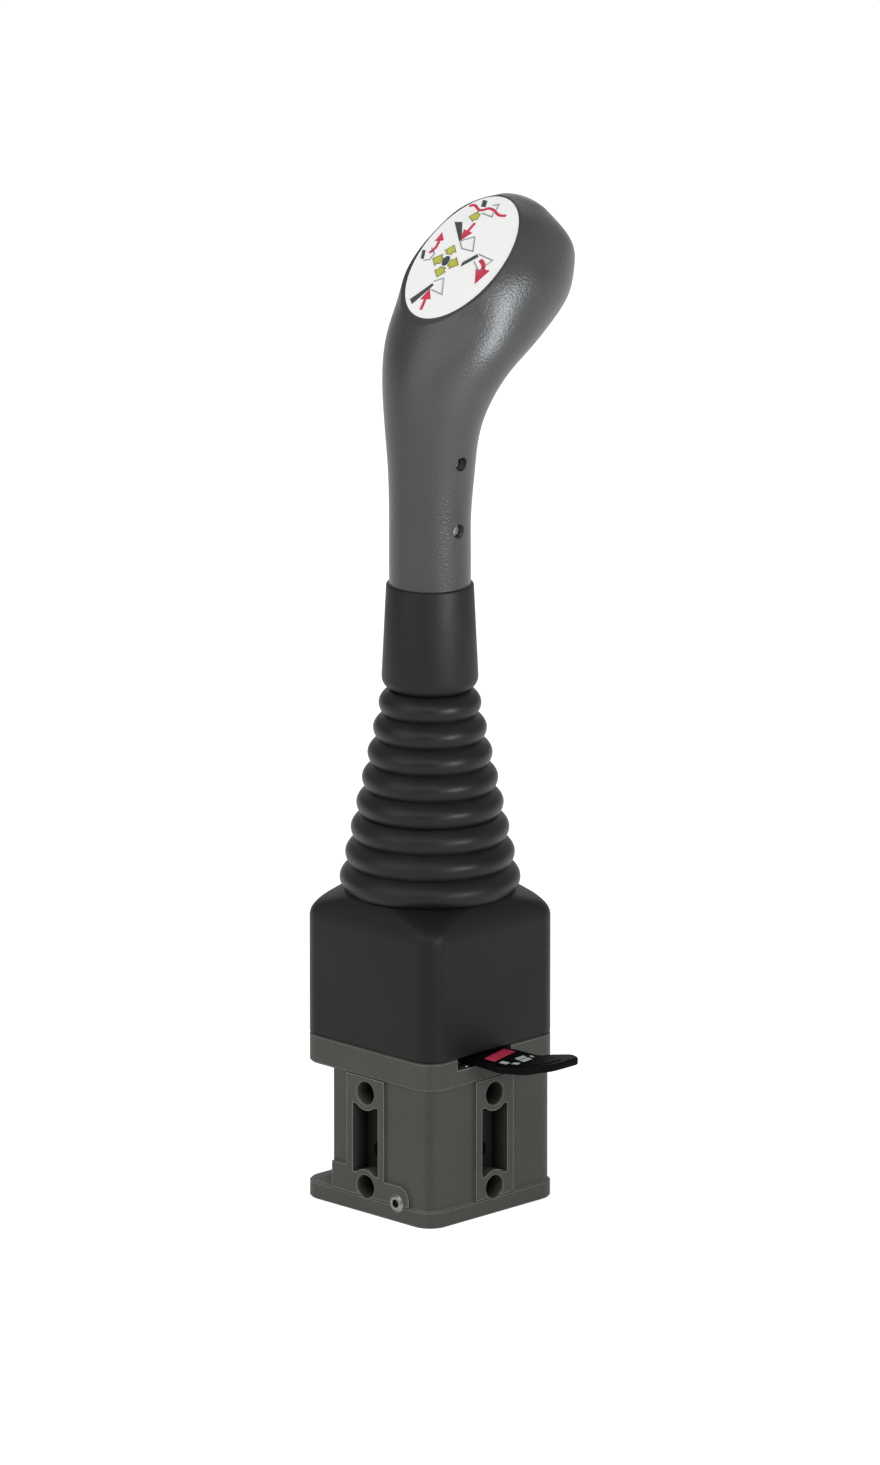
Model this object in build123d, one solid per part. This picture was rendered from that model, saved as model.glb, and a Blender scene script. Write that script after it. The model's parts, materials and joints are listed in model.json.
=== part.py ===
from build123d import *
import math
import os

# Hydraulic pilot joystick valve: four-cartridge control block with a tilting lever and a loader grip.
#
# Frame: origin on the lever axis at the underside of the block, +Z up along the lever, the sloping face of
# the grip looks towards -Y, the lever lock stands out on the +X side. Lengths are in millimetres.

os.makedirs("parts", exist_ok=True)

# ---------------------------------------------------------------- driving sizes
# valve block
block_side = 66.0             # square plan of the block, flange and boot skirt
block_corner = 8.0            # plan corner radius
flange_top = 6.5              # the bottom flange fills the full plan up to here
band_bottom = 51.0            # the band under the boot starts here
band_top = 61.7               # the boot skirt stands on this shoulder
face_relief = 1.0             # cast side faces lie this far behind the machined ones
rib_width = 19.0              # machined pillar on each side face
corner_notch = 16.0           # cast clearance notch in one corner
low_pad_width = 7.5           # machined pad beside the pillar, notch side
low_pad_top = 16.4
notch_corner = 3.0            # inside corner radius of the notch
plug_pad_width = 12.5         # machined pad that carries the test port plug
plug_pad_top = 13.6
plug_pad_round = 5.0
edge_break = 0.6              # small chamfer on machined outside edges

# mounting holes and side pockets
mount_spacing = 35.0          # between the two mounting holes of a side face
mount_low = 10.0              # height of the lower mounting hole
mount_core = 8.5              # M10 thread core
mount_mouth = 9.2             # chamfered mouth of the thread
mount_depth = 9.0
pocket_width = 12.9           # lightening pocket between the two holes
pocket_wall = 1.8             # wall left between pocket and hole mouth
pocket_depth = 8.0

# hydraulic circuit
plunger_circle = 16.0         # radius on which the four cartridges stand
port_radius = 4.283           # G1/8 thread core
port_depth = 12.0
drill_bore = 5.0              # internal passages
spool_bore = 7.0
spool_bore_length = 24.0
port_drill_length = 4.0       # from the port up to the spool
chamber_bore = 13.0
chamber_length = 28.0
bush_seat = 12.0
bush_seat_length = 12.0
bush_flange = 15.0
bush_flange_height = 2.0
pressure_level = 22.0         # height of the crossing pressure drillings
tank_rise = 7.0               # cast tank ring above the chamber floors
tank_ring_width = 4.0
gallery_plug_size = 7.0
gallery_plug_length = 3.5
test_plug_size = 6.3
test_plug_height = 7.1
test_plug_length = 6.0
test_plug_key = 3.0           # hexagon socket across flats
test_drill = 3.0
tank_port_offset = 11.5       # tank port centre, in X and in Y

# running fits and seats
slide_clearance = 0.05        # radial, pistons and pins in their bores
seat_clearance = 0.05         # radial, parts pushed into a seat
free_clearance = 0.25         # radial, where parts only pass each other
thread_clearance = 0.05       # radial, screws drawn at their core size

# metering cartridges
plunger_size = 7.0
plunger_gap = 0.65            # dome to cam plate at rest
plunger_bore = 4.6
plunger_bore_depth = 15.0
spring_seat_height = 4.0
spring_seat_travel = 7.0      # free way up to the bush
spool_neck = 5.0
spool_collar = 9.0
spool_neck_length = 5.0
spool_collar_height = 2.0
spool_stem = 3.0
spool_head = 4.2
spool_head_travel = 5.0       # head above the spring seat at rest
spool_head_height = 2.0
spool_lift = 2.0              # free space below the spool
return_spring_mean = 11.0
return_spring_wire = 1.2
return_spring_turns = 5.0
meter_spring_mean = 6.0
meter_spring_wire = 0.9
meter_spring_turns = 4.5
seal_section = 1.6            # O-ring in the bush
bush_top_radius = 5.2         # bush above its flange
bush_neck_length = 6.0
groove_size = 5.0             # spool at its ring grooves
groove_height = 5.0

# universal joint and cam plate
plate_thickness = 4.0         # guide plate on top of the block
plate_side = 58.0
plate_screw_circle = 29.0     # M4 screws on the diagonals
plate_screw_size = 4.0
screw_head_width = 1.75        # head, height, key width and key depth of a cap screw, per thread size
screw_head_height = 0.7
screw_key_width = 0.75
screw_key_depth = 0.4
plate_screw_length = 10.0     # into the block
post_size = 18.0
post_length = 5.0             # solid foot of the fork above the guide plate
post_stud = 8.0
post_stud_length = 20.0
ear_inner = 5.0               # ears of fork and yoke run from here outward
ear_outer = 8.0
ear_radius = 4.0
fork_floor = 9.0              # slot floor below the pivot
trunnion_size = 4.0
bush_wall = 0.75              # needle bush around a trunnion
cross_hub = 7.2
yoke_roof = 7.5               # underside of the yoke bridge above the pivot
yoke_bridge_height = 3.5
yoke_bridge_radius = 9.0
cam_radius = 22.0
cam_rim_height = 4.5
cam_cavity = 10.5
cam_bell = 14.0
cam_roof_height = 4.0
lever_stud = 8.0
jam_nut_flats = 13.0
jam_nut_height = 5.0
stud_engagement = 12.0

# boot
boot_wall = 3.0
skirt_length = 44.3           # straight part of the boot
dome_height = 9.9             # shoulder rounding above it
boot_dome_inset = 5.0         # the dome over the shoulder draws in by this much on the faces
ring_count = 8
ring_first_radius = 32.3
ring_taper = -2.01            # change of radius from ring to ring
ring_pitch = 9.26
groove_depth = 4.0
bellows_wall = 2.0
collar_wide_radius = 17.4
collar_round = 4.6            # height of the rounded lower edge
collar_length = 39.0
collar_top_radius = 15.8
collar_web = 5.0

# lever and grip
lever_size = 12.0
grip_stem = 14.7              # radius of the straight stem
stem_length = 57.0            # straight stem of the grip
stem_lead = 14.0              # straight lead-in below the first shaped section
insert_radius = 9.0
insert_rise = 17.0            # insert above the lower end of the grip
insert_length = 80.0
insert_cap = 6.0              # closed end of the insert above the lever
label_tilt = 42.0             # slope of the grip's flat oval face
label_centre = (16.2, 94.1)   # Y, and height above the straight stem, of the oval's centre
label_half_width = 20.9
label_half_length = 28.6
label_thickness = 1.2
# Sections of the grip head: front Y, front height, back Y, back height, half width in X. The heights are
# above the end of the straight stem.
head_sections = [
    (-15.1, 20.0, 16.0, 17.5, 15.5),
    (-15.5, 39.0, 16.8, 32.0, 17.7),
    (-13.8, 55.5, 19.7, 42.5, 21.2),
    (-9.0, 69.0, 25.5, 51.5, 24.8),
    (-3.5, 81.0, 37.0, 59.0, 26.4),
    (-0.5, 90.5, 49.0, 66.5, 26.8),
    (7.0, 99.0, 58.0, 74.5, 26.0),
    (16.5, 107.0, 64.0, 83.5, 22.2),
    (27.0, 112.5, 64.2, 94.5, 14.8),
    (40.0, 113.7, 55.5, 105.0, 7.0),
]
label_rim = 0.9               # grip material left around the oval inlay
label_pocket = 12.0           # hollow below the inlay
label_ledge = 3.0             # ledge that carries the inlay
grip_screw_heights = (-1.5, 23.5)    # from the end of the straight stem
grip_screw_recess = 2.6       # radius of the screw recesses
grip_screw_head = 2.2
grip_screw_core = 1.4
grip_screw_head_height = 2.0
grip_screw_wall = 1.2         # grip material under each screw head

# lever lock
lock_axis = (25.0, -10.0)
lock_shaft = 5.0
lock_drop = 3.7               # underside of the lock lever below the boot edge
lock_plate_thickness = 2.8
lock_shaft_drop = 10.0        # shaft below the lock lever
lock_dog_gap = 0.4            # dog above the guide plate
lock_dog_height = 2.4
lock_label_thickness = 0.3
lock_outline = [(26.0, -14.0), (33.0, -12.0), (48.0, -13.0), (56.5, -8.0), (60.0, 3.0), (60.0, 16.0),
                (55.0, 17.5), (49.5, 11.5), (48.0, 7.7), (36.0, 7.4), (33.0, 6.0), (27.5, -5.0)]
lock_outline_round = 1.2
lock_label_outline = [(34.0, -10.5), (46.5, -11.3), (54.0, -7.0), (57.5, 2.0),
                      (57.5, 9.0), (51.0, 6.0), (35.0, 5.0)]
lock_screw_core = 1.25
lock_screw_length = 8.0
lock_screw_head = 3.5
lock_screw_head_height = 1.6
lock_screw_key = 2.0
lock_screw_key_depth = 1.0
lock_hub = 4.9                # radius of the lock lever around its shaft
lock_slot_front = -19.0       # the slot in the block runs between these Y values
lock_slot_rear = 8.5
lock_slot_play = 0.8          # below the plate
lock_dog_radius = 2.5
lock_dog_hub = 3.9
lock_dog_reach = 6.0
lock_dog_angle = 217.0        # direction of the dog from the shaft at rest
detent_offset = (5.0, -1.5)   # detent ball from the lock shaft
detent_depth = 6.0
detent_spring_wire = 0.4
detent_spring_turns = 4
detent_ball = 3.0
detent_clearance = 0.2
detent_seat = 0.35            # the spring reaches this far up around the ball

# ---------------------------------------------------------------- worked-out places
half_side = block_side / 2
mount_high = mount_low + mount_spacing
inner_side = block_side - 2 * (boot_wall + seat_clearance)
spool_floor = port_depth + port_drill_length
chamber_floor = spool_floor + spool_bore_length
bush_floor = chamber_floor + chamber_length
block_top = bush_floor + bush_seat_length
bush_top = block_top + bush_neck_length
tank_level = chamber_floor + tank_rise
spring_seat_top = bush_floor - spring_seat_travel
spool_collar_bottom = chamber_floor + spool_neck_length
spool_head_bottom = spring_seat_top + spool_head_travel
plate_bottom = block_top
plate_top = block_top + plate_thickness
post_top = plate_top + post_length
pivot_height = post_top + fork_floor
bridge_bottom = pivot_height + yoke_roof
bridge_top = bridge_bottom + yoke_bridge_height
nut_bottom = bridge_top + cam_roof_height
rod_bottom = nut_bottom + jam_nut_height
boot_shoulder = band_top + skirt_length
bellows_bottom = boot_shoulder + dome_height
bellows_top = bellows_bottom + ring_pitch * ring_count
neck_radius = ring_first_radius - groove_depth + ring_taper * (ring_count - 0.5)
collar_top = bellows_top + collar_length
grip_bottom = bellows_top + collar_web
stem_top = grip_bottom + stem_length
insert_bottom = grip_bottom + insert_rise
insert_top = insert_bottom + insert_length
lever_top = insert_top - insert_cap
grip_screw_levels = [stem_top + height for height in grip_screw_heights]
lock_plate_bottom = band_top - lock_drop
lock_plate_top = lock_plate_bottom + lock_plate_thickness
lock_foot = lock_plate_bottom - lock_shaft_drop
lock_dog_bottom = plate_top + lock_dog_gap
lock_dog_top = lock_dog_bottom + lock_dog_height
plunger_dome = plunger_size / 2
plunger_tip = pivot_height - plunger_gap
screw_seat = insert_radius + grip_screw_wall
spring_seat_bottom = spring_seat_top - spring_seat_height
lock_slot_floor = lock_plate_bottom - lock_slot_play
detent_place = (lock_axis[0] + detent_offset[0], lock_axis[1] + detent_offset[1])
sides = {
    "front": (0, -plunger_circle),
    "rear": (0, plunger_circle),
    "left": (-plunger_circle, 0),
    "right": (plunger_circle, 0),
}
directions = ((0, -1), (0, 1), (-1, 0), (1, 0))
mounting_faces = ((0, -1), (1, 0))
low = (Align.CENTER, Align.CENTER, Align.MIN)


# ---------------------------------------------------------------- simple solids
def rod(radius, bottom, top, place=(0, 0)):
    """Upright cylinder between two heights."""
    return Pos(place[0], place[1], bottom) * Cylinder(radius, top - bottom, align=low)


def tube(outer, inner, bottom, top, place=(0, 0)):
    return rod(outer, bottom, top, place) - rod(inner, bottom, top, place)


def block(x_range, y_range, z_range):
    size = [pair[1] - pair[0] for pair in (x_range, y_range, z_range)]
    middle = [(pair[1] + pair[0]) / 2 for pair in (x_range, y_range, z_range)]
    return Pos(*middle) * Box(*size)


def bar(radius, start, end):
    """Cylinder from one point to another."""
    along = Vector(*end) - Vector(*start)
    return Plane(origin=start, z_dir=along) * Cylinder(radius, along.length, align=low)


def cone_bar(start_radius, end_radius, start, end):
    along = Vector(*end) - Vector(*start)
    return Plane(origin=start, z_dir=along) * Cone(start_radius, end_radius, along.length, align=low)


def square_prism(side, corner, bottom, top, broken=()):
    """Upright prism with rounded corners; broken lists the ends that get the small chamfer."""
    prism = extrude(Pos(0, 0, bottom) * RectangleRounded(side, side, corner), top - bottom)
    for end in broken:
        prism = chamfer(prism.edges().group_by(Axis.Z)[end], edge_break)
    return prism


def hexagon(flats, bottom, top, place=(0, 0)):
    outline = Pos(place[0], place[1], bottom) * RegularPolygon(flats / math.sqrt(3), 6)
    return extrude(outline, top - bottom)


def coil(mean, wire, bottom, top, turns, place=(0, 0)):
    """Compression spring whose end turns touch the two heights."""
    height = top - bottom - wire - 2 * slide_clearance
    path = Helix(height / turns, height, mean / 2)
    start = Plane(origin=path @ 0, z_dir=path % 0)
    spring = sweep(start * Circle(wire / 2), path)
    return Pos(place[0], place[1], bottom + wire / 2 + slide_clearance) * spring


def revolved(points):
    """Solid of revolution about the lever axis from (radius, height) corners."""
    corners = [(radius, 0, height) for radius, height in points]
    outline = make_face(Polyline(*corners, close=True))
    return revolve(outline, Axis.Z)


def save(name, shape):
    export_step(shape, f"parts/{name}.step")
    print(name)


# ---------------------------------------------------------------- valve block
def side_cuts():
    """Pocket and drilling of each side face, with the threaded mounting holes on two of them."""
    mouth = mount_mouth / 2
    taper = mouth - mount_core / 2
    floor = half_side - pocket_depth
    plug_floor = floor - gallery_plug_length
    deep = pressure_level
    cuts = []
    for x, y in directions:
        across = (-pocket_width / 2, pocket_width / 2)
        along = (mount_low + mouth, mount_high - mouth)
        if y:
            pocket = block(across, sorted((y * floor, y * half_side)), along)
        else:
            pocket = block(sorted((x * floor, x * half_side)), across, along)
        for height in (mount_low, mount_high):
            outer = (x * half_side, y * half_side, height)
            pocket -= bar(mouth + pocket_wall, outer, (x * floor, y * floor, height))
            if (x, y) in mounting_faces:
                inner = half_side - mount_depth
                rim = half_side - taper
                cuts.append(bar(mount_core / 2, outer, (x * inner, y * inner, height)))
                cuts.append(cone_bar(mouth, mount_core / 2, outer, (x * rim, y * rim, height)))
        cuts.append(pocket)
        seat = (x * plug_floor, y * plug_floor, deep)
        cuts.append(bar(gallery_plug_size / 2, (x * floor, y * floor, deep), seat))
        cuts.append(bar(drill_bore / 2, seat, (0, 0, deep)))
    return cuts


def cartridge_bores():
    """Port, spool bore, spring chamber and bush seat of each cartridge."""
    cuts = None
    for place in sides.values():
        shape = rod(port_radius, 0, port_depth, place)
        shape += rod(drill_bore / 2, port_depth, spool_floor, place)
        shape += rod(spool_bore / 2, spool_floor, chamber_floor, place)
        shape += rod(chamber_bore / 2, chamber_floor, bush_floor, place)
        shape += rod(bush_seat / 2 + seat_clearance, bush_floor, block_top, place)
        seat = block_top - bush_flange_height
        shape += rod(bush_flange / 2 + seat_clearance, seat, block_top, place)
        cuts = shape if cuts is None else cuts + shape
    return cuts


def lock_cavity():
    """Slot under the boot edge for the lock lever, with the bores of its shaft and detent."""
    cut = rod(lock_hub + free_clearance, lock_slot_floor, band_top, lock_axis)
    opening = (lock_slot_front, lock_slot_rear)
    cut += block((lock_axis[0], half_side), opening, (lock_slot_floor, band_top))
    cut += rod(lock_shaft / 2 + slide_clearance, lock_foot, block_top, lock_axis)
    spring_well = detent_ball / 2 + detent_clearance
    cut += rod(spring_well, lock_slot_floor - detent_depth, lock_slot_floor, detent_place)
    return cut


def valve_body():
    body = square_prism(block_side, block_corner, 0, flange_top, (0, -1))
    cast = block_side - 2 * face_relief
    body += square_prism(cast, block_corner - face_relief, flange_top, band_bottom)
    body += square_prism(block_side, block_corner, band_bottom, band_top, (0, -1))
    body += square_prism(inner_side, block_corner - boot_wall, band_top, block_top)
    rib = (-rib_width / 2, rib_width / 2)
    upright = (flange_top, band_bottom)
    inside = half_side / 2
    for x, y in directions:
        if y:
            body += block(rib, sorted((y * inside, y * half_side)), upright)
        else:
            body += block(sorted((x * inside, x * half_side)), rib, upright)
    front = (-half_side, -inside)
    body += block((rib[0] - low_pad_width, rib[0]), front, (flange_top, low_pad_top))
    pad = block((rib[1], rib[1] + plug_pad_width), front, (flange_top, plug_pad_top))
    far_edge = pad.edges().filter_by(Axis.Y).group_by(Axis.Z)[-1].sort_by(Axis.X)[-1]
    body += fillet(far_edge, plug_pad_round)
    notch_middle = -half_side
    notch = Rectangle(2 * corner_notch, 2 * corner_notch)
    notch = extrude(Pos(notch_middle, notch_middle, flange_top) * notch, band_bottom - flange_top)
    body -= fillet(notch.edges().filter_by(Axis.Z), notch_corner)
    for cut in side_cuts():
        body -= cut
    body -= cartridge_bores()
    body -= rod(port_radius, 0, port_depth)
    body -= rod(drill_bore / 2, port_depth, pressure_level)
    tank = (tank_port_offset, tank_port_offset)
    body -= rod(port_radius, 0, port_depth, tank)
    body -= rod(drill_bore / 2, port_depth, tank_level, tank)
    ring_middle = math.hypot(*tank)
    ring_edges = (ring_middle + tank_ring_width / 2, ring_middle - tank_ring_width / 2)
    body -= tube(*ring_edges, tank_level - tank_ring_width / 2, tank_level + tank_ring_width / 2)
    body -= rod(post_stud / 2 + thread_clearance, block_top - post_stud_length, block_top)
    screw_hole = plate_screw_size / 2 + thread_clearance
    for place in plate_screw_places():
        body -= rod(screw_hole, block_top - plate_screw_length, block_top, place)
    start = half_side - test_plug_length
    body -= bar(test_plug_size / 2 + seat_clearance, (plunger_circle, -half_side, test_plug_height),
                (plunger_circle, -start, test_plug_height))
    drill_start = (plunger_circle, -start, test_plug_height)
    body -= bar(test_drill / 2, drill_start, (plunger_circle, 0, test_plug_height))
    body -= lock_cavity()
    return body


def plate_screw_places():
    offset = plate_screw_circle / math.sqrt(2)
    return [(x * offset, y * offset) for x in (-1, 1) for y in (-1, 1)]


def gallery_plugs():
    """Screw plugs that close the pressure drillings in the pocket floors."""
    floor = half_side - pocket_depth
    plugs = []
    for x, y in directions:
        outer = (x * floor, y * floor, pressure_level)
        inner_end = floor - gallery_plug_length
        inner = (x * inner_end, y * inner_end, pressure_level)
        key_end = floor - gallery_plug_length / 2
        key = (x * key_end, y * key_end, pressure_level)
        plug = bar(gallery_plug_size / 2, inner, outer) - bar(gallery_plug_size / 4, key, outer)
        plugs.append(plug)
    return Compound(plugs)


def test_port_plug():
    depth = half_side - test_plug_length
    inner = (plunger_circle, -depth, test_plug_height)
    outer = (plunger_circle, -half_side - edge_break, test_plug_height)
    plug = bar(test_plug_size / 2, inner, outer)
    plug = chamfer(plug.edges().group_by(Axis.Y)[0], edge_break)
    key = Plane(origin=outer, z_dir=(0, 1, 0)) * RegularPolygon(test_plug_key / math.sqrt(3), 6)
    return plug - extrude(key, test_plug_length / 2)


def guide_plate():
    plate = square_prism(plate_side, block_corner - boot_wall, plate_bottom, plate_top, (-1,))
    for place in sides.values():
        plate -= rod(bush_top_radius + free_clearance, plate_bottom, plate_top, place)
    plate -= rod(post_stud / 2 + free_clearance, plate_bottom, plate_top)
    plate -= rod(lock_shaft / 2 + free_clearance, plate_bottom, plate_top, lock_axis)
    for place in plate_screw_places():
        plate -= rod(plate_screw_size / 2 + free_clearance, plate_bottom, plate_top, place)
    return plate


def cap_screws(places, size, bottom, seat):
    """Socket head screws standing upright at the given places."""
    screws = []
    for place in places:
        head_top = seat + size * screw_head_height
        screw = rod(size / 2, bottom, seat, place) + rod(size * screw_head_width / 2, seat, head_top, place)
        socket = hexagon(size * screw_key_width, head_top - size * screw_key_depth, head_top, place)
        screws.append(screw - socket)
    return Compound(screws)


# ---------------------------------------------------------------- metering cartridges
def guide_bush(place):
    flange_bottom = block_top - bush_flange_height
    bush = rod(bush_seat / 2, bush_floor, flange_bottom, place)
    bush += rod(bush_flange / 2, flange_bottom, block_top, place)
    bush += rod(bush_top_radius, block_top, bush_top, place)
    bush -= rod(plunger_size / 2 + slide_clearance, bush_floor, bush_top, place)
    middle = (bush_floor + flange_bottom) / 2
    outer = bush_seat / 2
    groove = tube(outer, outer - seal_section, middle - seal_section / 2, middle + seal_section / 2, place)
    return bush - groove


def bush_seals():
    """O-rings in the grooves of the four guide bushes."""
    middle = (bush_floor + block_top - bush_flange_height) / 2
    section = seal_section / 2 - seat_clearance
    ring_radius = bush_seat / 2 - seal_section / 2
    seal = Torus(ring_radius, section)
    return Compound([Pos(place[0], place[1], middle) * seal for place in sides.values()])


def plunger(place):
    centre = plunger_tip - plunger_dome
    body = rod(plunger_size / 2, spring_seat_top, centre, place)
    body += Pos(place[0], place[1], centre) * Sphere(plunger_dome)
    return body - rod(plunger_bore / 2, spring_seat_top, spring_seat_top + plunger_bore_depth, place)


def spring_seat(place):
    outer = chamber_bore / 2 - free_clearance
    return tube(outer, spool_stem / 2 + free_clearance, spring_seat_bottom, spring_seat_top, place)


def return_spring(place):
    turns = return_spring_turns
    return coil(return_spring_mean, return_spring_wire, chamber_floor, spring_seat_bottom, turns, place)


def metering_spring(place):
    bottom = spool_collar_bottom + spool_collar_height
    return coil(meter_spring_mean, meter_spring_wire, bottom, spring_seat_bottom, meter_spring_turns, place)


def spool(place):
    """Pressure reducing spool with its ring grooves, spring collar and captured head."""
    bottom = spool_floor + spool_lift
    collar_top = spool_collar_bottom + spool_collar_height
    body = rod(spool_bore / 2 - slide_clearance, bottom, chamber_floor, place)
    body += rod(spool_neck / 2, chamber_floor, spool_collar_bottom, place)
    body += rod(spool_collar / 2, spool_collar_bottom, collar_top, place)
    body += rod(spool_stem / 2, collar_top, spool_head_bottom, place)
    body += rod(spool_head / 2, spool_head_bottom, spool_head_bottom + spool_head_height, place)
    upper_groove = (pressure_level + chamber_floor) / 2
    half_height = groove_height / 2
    for level in (pressure_level, upper_groove):
        groove = tube(spool_bore, groove_size / 2, level - half_height, level + half_height, place)
        body -= groove
    return body


# ---------------------------------------------------------------- universal joint and cam plate
def ear_pair(along_x, from_height, to_height):
    """Two ears with round ends on the pivot, joined to what lies at the other height."""
    across = (-ear_radius, ear_radius)
    height = sorted((from_height, to_height))
    ears = None
    for side in (-1, 1):
        span = sorted((side * ear_inner, side * ear_outer))
        axis = (1, 0, 0) if along_x else (0, 1, 0)
        start = Vector(*axis) * span[0] + Vector(0, 0, pivot_height)
        end = Vector(*axis) * span[1] + Vector(0, 0, pivot_height)
        leg = block(span, across, height) if along_x else block(across, span, height)
        ear = leg + bar(ear_radius, start, end)
        ear -= bar(trunnion_size / 2 + bush_wall + seat_clearance, start, end)
        ears = ear if ears is None else ears + ear
    return ears


def pivot_post():
    """Fork that carries the universal cross, screwed down through the guide plate."""
    post = rod(post_stud / 2, block_top - post_stud_length, plate_top)
    post += rod(post_size / 2, plate_top, post_top)
    return post + ear_pair(True, post_top, pivot_height)


def upper_yoke():
    yoke = rod(yoke_bridge_radius, bridge_bottom, bridge_top)
    yoke += ear_pair(False, bridge_bottom, pivot_height)
    return yoke + rod(lever_stud / 2, bridge_top, rod_bottom + stud_engagement)


def trunnion_bushes(along_x):
    bushes = []
    for side in (-1, 1):
        span = sorted((side * ear_inner, side * ear_outer))
        axis = Vector(1, 0, 0) if along_x else Vector(0, 1, 0)
        start = axis * span[0] + Vector(0, 0, pivot_height)
        end = axis * span[1] + Vector(0, 0, pivot_height)
        outer = trunnion_size / 2 + bush_wall
        bushes.append(bar(outer, start, end) - bar(trunnion_size / 2 + slide_clearance, start, end))
    return Compound(bushes)


def universal_cross():
    cross = Pos(0, 0, pivot_height) * Box(cross_hub, cross_hub, cross_hub)
    cross += bar(trunnion_size / 2, (-ear_outer, 0, pivot_height), (ear_outer, 0, pivot_height))
    return cross + bar(trunnion_size / 2, (0, -ear_outer, pivot_height), (0, ear_outer, pivot_height))


def cam_plate():
    rim_top = pivot_height + cam_rim_height
    stud_hole = lever_stud / 2 + thread_clearance
    return revolved([
        (cam_cavity, pivot_height),
        (cam_radius, pivot_height),
        (cam_radius, rim_top),
        (cam_bell, rim_top + cam_rim_height / 2),
        (cam_bell, nut_bottom),
        (stud_hole, nut_bottom),
        (stud_hole, bridge_top),
        (cam_cavity, bridge_top),
    ])


def jam_nut():
    nut = hexagon(jam_nut_flats, nut_bottom, rod_bottom)
    return nut - rod(lever_stud / 2 + thread_clearance, nut_bottom, rod_bottom)


def lever_rod():
    shaft = rod(lever_size / 2, rod_bottom, lever_top)
    return shaft - rod(lever_stud / 2 + thread_clearance, rod_bottom, rod_bottom + stud_engagement)


# ---------------------------------------------------------------- boot
def dome_section(height, inset):
    """Plan outline of the boot shoulder at a height, going from rounded square to circle."""
    rise = (height - boot_shoulder) / (dome_height - inset)
    drawn_in = 1 - math.sqrt(max(0, 1 - rise * rise))
    half = half_side - inset - boot_dome_inset * drawn_in
    corner_reach = math.sqrt(2) * (half_side - block_corner) + block_corner - inset
    top_reach = half_side - boot_dome_inset - inset
    reach = corner_reach - (corner_reach - top_reach) * drawn_in
    corner = (math.sqrt(2) * half - reach) / (math.sqrt(2) - 1)
    corner = min(corner, half - 0.4)
    return Pos(0, 0, height) * RectangleRounded(2 * half, 2 * half, corner)


def boot_solid(inset):
    straight = square_prism(block_side - 2 * inset, block_corner - inset, band_top, boot_shoulder)
    steps = 5
    span = dome_height - inset
    heights = [boot_shoulder + span * math.sin(math.pi / 2 * step / steps) for step in range(steps + 1)]
    return straight + loft([dome_section(height, inset) for height in heights], ruled=True)


def boot_skirt():
    """Square lower part of the boot with its shoulder; stands on the block."""
    opening = ring_first_radius - groove_depth - bellows_wall - seat_clearance
    skirt = boot_solid(0) - boot_solid(boot_wall)
    return skirt - rod(opening, boot_shoulder, bellows_bottom)


def ring_arcs(inward):
    """Half-round arcs of the bellows rings, moved inward by the wall."""
    arcs = []
    for index in range(ring_count):
        middle = bellows_bottom + ring_pitch * (index + 0.5)
        crest = ring_first_radius + ring_taper * index - inward
        root = crest - groove_depth
        below = (root - ring_taper / 2, 0, middle - ring_pitch / 2)
        above = (root + ring_taper / 2, 0, middle + ring_pitch / 2)
        arcs.append(ThreePointArc(below, (crest, 0, middle), above))
    return arcs


def boot_bellows():
    outer, inner = ring_arcs(0), ring_arcs(bellows_wall)
    ends = [Line(outer[0] @ 0, inner[0] @ 0), Line(outer[-1] @ 1, inner[-1] @ 1)]
    return revolve(make_face(outer + inner + ends), Axis.Z)


def boot_collar():
    """Sleeve that holds the boot on the lower end of the grip."""
    collar = revolved([
        (lever_size / 2 + seat_clearance, bellows_top),
        (neck_radius, bellows_top),
        (collar_wide_radius, bellows_top + collar_round),
        (collar_top_radius, collar_top - edge_break),
        (collar_top_radius - edge_break, collar_top),
        (lever_size / 2 + seat_clearance, collar_top),
    ])
    return collar - rod(grip_stem + seat_clearance, grip_bottom, collar_top)


# ---------------------------------------------------------------- grip
def label_plane():
    tilt = math.radians(label_tilt)
    facing = (0, -math.sin(tilt), math.cos(tilt))
    return Plane(origin=(0, label_centre[0], stem_top + label_centre[1]), x_dir=(1, 0, 0), z_dir=facing)


def grip_section(front_y, front_z, back_y, back_z, half_width):
    """Oval through a front point and a back point."""
    across = Vector(0, back_y - front_y, back_z - front_z)
    middle = (0, (front_y + back_y) / 2, stem_top + (front_z + back_z) / 2)
    facing = Vector(1, 0, 0).cross(across)
    plane = Plane(origin=middle, x_dir=(1, 0, 0), z_dir=facing)
    return plane * Ellipse(half_width, across.length / 2)


def grip_shell():
    stem = [(-grip_stem, height, grip_stem, height, grip_stem) for height in (-stem_lead, 0)]
    shell = rod(grip_stem, grip_bottom, stem_top - stem_lead)
    shell += loft([grip_section(*row) for row in stem + head_sections])
    face = label_plane()
    size = 4 * label_half_length
    shell -= face * Box(size, size, size, align=low)
    width, length = label_half_width - label_rim, label_half_length - label_rim
    seat = Ellipse(width + seat_clearance, length + seat_clearance)
    shell -= extrude(face.offset(-label_thickness - seat_clearance) * seat, 2 * label_thickness)
    hollow = face.offset(-label_pocket) * Ellipse(width - label_ledge, length - label_ledge)
    shell -= extrude(hollow, label_pocket)
    shell -= rod(insert_radius + seat_clearance, grip_bottom, insert_top)
    for height in grip_screw_levels:
        shell -= bar(grip_screw_recess, (screw_seat, 0, height), (2 * grip_stem, 0, height))
        shell -= bar(grip_screw_core + free_clearance, (0, 0, height), (screw_seat, 0, height))
    return shell


def label_inlay():
    face = label_plane()
    outline = Ellipse(label_half_width - label_rim, label_half_length - label_rim)
    return extrude(face.offset(-label_thickness) * outline, label_thickness)


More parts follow.
